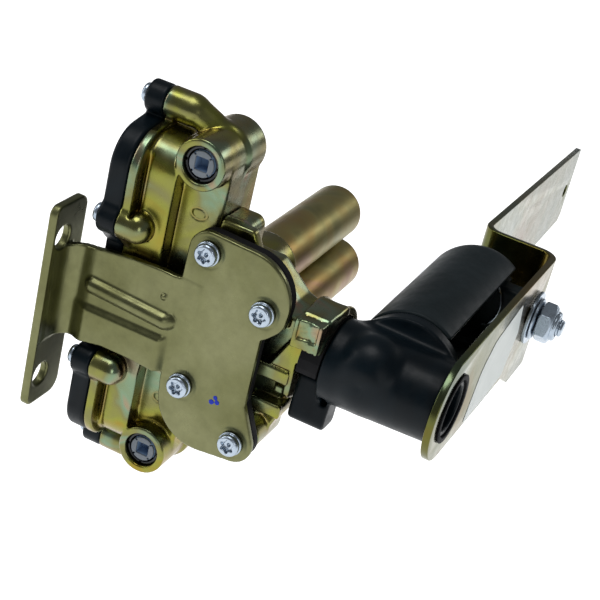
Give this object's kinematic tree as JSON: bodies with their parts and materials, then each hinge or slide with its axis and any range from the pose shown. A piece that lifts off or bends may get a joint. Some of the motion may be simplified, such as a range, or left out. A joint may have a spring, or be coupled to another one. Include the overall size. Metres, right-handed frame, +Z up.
{
  "type": "zone valve actuator",
  "caption": "Valve actuator: mirrored worm reducers on a plated steel bracket drive racks in blind guide tubes, which swing a crank arm with a long cranked steel lever.",
  "frame": {"origin": "centre of the mounting flange's outer face", "axes": "+X runs from the mounting flange along the crank's axis towards the lever, +Y from the front plate towards the guide tubes and the lever's tip, +Z up along the line through both reducers"},
  "size_m": [0.1759, 0.328, 0.1638],
  "materials": {
    "olive_plated_steel": "khaki zinc-chromate plating on pressed steel, satin and slightly mottled",
    "gold_plated_steel": "yellow zinc-chromate plating on steel strip, pale gold-green with orange sheared edges",
    "chromate_casting": "bright yellow-green chromate on a die casting, iridescent",
    "chromate_tube": "pale gold to pink chromate, satin gloss",
    "blue_zinc_steel": "bright blue zinc plating",
    "plain_steel": "oiled machined steel",
    "dark_steel": "dark greased steel",
    "bronze": "machined bronze",
    "grey_polymer": "blue-grey moulded acetal",
    "black_plastic": "black glass-filled nylon, satin",
    "slate_plastic": "dark slate moulded plastic, fine satin texture",
    "black_rubber": "matt black rubber",
    "paper_label": "blank pale label film"
  },
  "bodies": {
    "base": {"mounting_bracket": "olive_plated_steel", "isolator_pad": "black_rubber", "plate_screw_1": "blue_zinc_steel", "plate_screw_2": "blue_zinc_steel", "plate_screw_3": "blue_zinc_steel", "plate_screw_4": "blue_zinc_steel", "upper_gear_housing": "chromate_casting", "upper_gear_cover": "black_plastic", "upper_cover_screw_1": "blue_zinc_steel", "upper_cover_screw_2": "blue_zinc_steel", "upper_cover_screw_3": "blue_zinc_steel", "upper_port_bush": "dark_steel", "upper_return_spring": "plain_steel", "upper_guide_tube": "chromate_tube", "lower_gear_housing": "chromate_casting", "lower_gear_cover": "black_plastic", "lower_cover_screw_1": "blue_zinc_steel", "lower_cover_screw_2": "blue_zinc_steel", "lower_cover_screw_3": "blue_zinc_steel", "lower_port_bush": "dark_steel", "lower_return_spring": "plain_steel", "lower_guide_tube": "chromate_tube", "centre_casting": "chromate_casting", "pivot_bush": "black_rubber"},
    "crank": {"crank_arm": "black_plastic", "crank_pinion_shaft": "plain_steel", "lever_hood": "slate_plastic", "rear_bracket": "gold_plated_steel", "bracket_bush": "black_rubber", "clamp_bolt": "blue_zinc_steel", "wide_washer": "blue_zinc_steel", "cone_washer": "blue_zinc_steel", "lock_nut": "blue_zinc_steel", "rating_label": "paper_label"},
    "upper_worm": {"upper_drive_worm": "grey_polymer"},
    "upper_wheel": {"upper_wheel_shaft": "bronze"},
    "upper_output": {"upper_output_shaft": "plain_steel"},
    "upper_rack_bar": {"upper_rack": "plain_steel"},
    "lower_worm": {"lower_drive_worm": "grey_polymer"},
    "lower_wheel": {"lower_wheel_shaft": "bronze"},
    "lower_output": {"lower_output_shaft": "plain_steel"},
    "lower_rack_bar": {"lower_rack": "plain_steel"}
  },
  "joints": [
    {"name": "crank_swing", "type": "hinge", "parent": "base", "child": "crank", "pos_m": [0.1, 0.02625, 0.0111], "axis": [1, 0, 0], "range_deg": [-30, 45]},
    {"name": "upper_rack_slide", "type": "slide", "parent": "base", "child": "upper_rack_bar", "axis": [0, 1, 0], "range_m": [-0.0041, 0.0028]},
    {"name": "upper_output_turn", "type": "hinge", "parent": "base", "child": "upper_output", "pos_m": [0.0485, 0.02625, 0.0377], "axis": [1, 0, 0], "range_deg": [-29, 20]},
    {"name": "upper_wheel_turn", "type": "hinge", "parent": "base", "child": "upper_wheel", "pos_m": [0.0485, 0.02625, 0.0603], "axis": [1, 0, 0], "range_deg": [-53, 79]},
    {"name": "upper_worm_turn", "type": "hinge", "parent": "base", "child": "upper_worm", "pos_m": [0.0485, 0.02175, 0.0747], "axis": [0, 1, 0], "range_deg": [-990, 1480]},
    {"name": "lower_rack_slide", "type": "slide", "parent": "base", "child": "lower_rack_bar", "axis": [0, 1, 0], "range_m": [-0.0028, 0.0041]},
    {"name": "lower_output_turn", "type": "hinge", "parent": "base", "child": "lower_output", "pos_m": [0.0485, 0.02625, -0.0155], "axis": [1, 0, 0], "range_deg": [-29, 20]},
    {"name": "lower_wheel_turn", "type": "hinge", "parent": "base", "child": "lower_wheel", "pos_m": [0.0485, 0.02625, -0.0381], "axis": [1, 0, 0], "range_deg": [-53, 79]},
    {"name": "lower_worm_turn", "type": "hinge", "parent": "base", "child": "lower_worm", "pos_m": [0.0485, 0.02175, -0.0525], "axis": [0, 1, 0], "range_deg": [-1480, 990]}
  ],
  "couplings": [
    {"joint": "upper_rack_slide", "follows": "crank_swing", "m_per_rad": -0.005},
    {"joint": "upper_output_turn", "follows": "crank_swing", "ratio": -0.625},
    {"joint": "upper_wheel_turn", "follows": "crank_swing", "ratio": 1.7188},
    {"joint": "upper_worm_turn", "follows": "crank_swing", "ratio": 32.656},
    {"joint": "lower_rack_slide", "follows": "crank_swing", "m_per_rad": 0.005},
    {"joint": "lower_output_turn", "follows": "crank_swing", "ratio": -0.625},
    {"joint": "lower_wheel_turn", "follows": "crank_swing", "ratio": 1.7188},
    {"joint": "lower_worm_turn", "follows": "crank_swing", "ratio": -32.656}
  ]
}
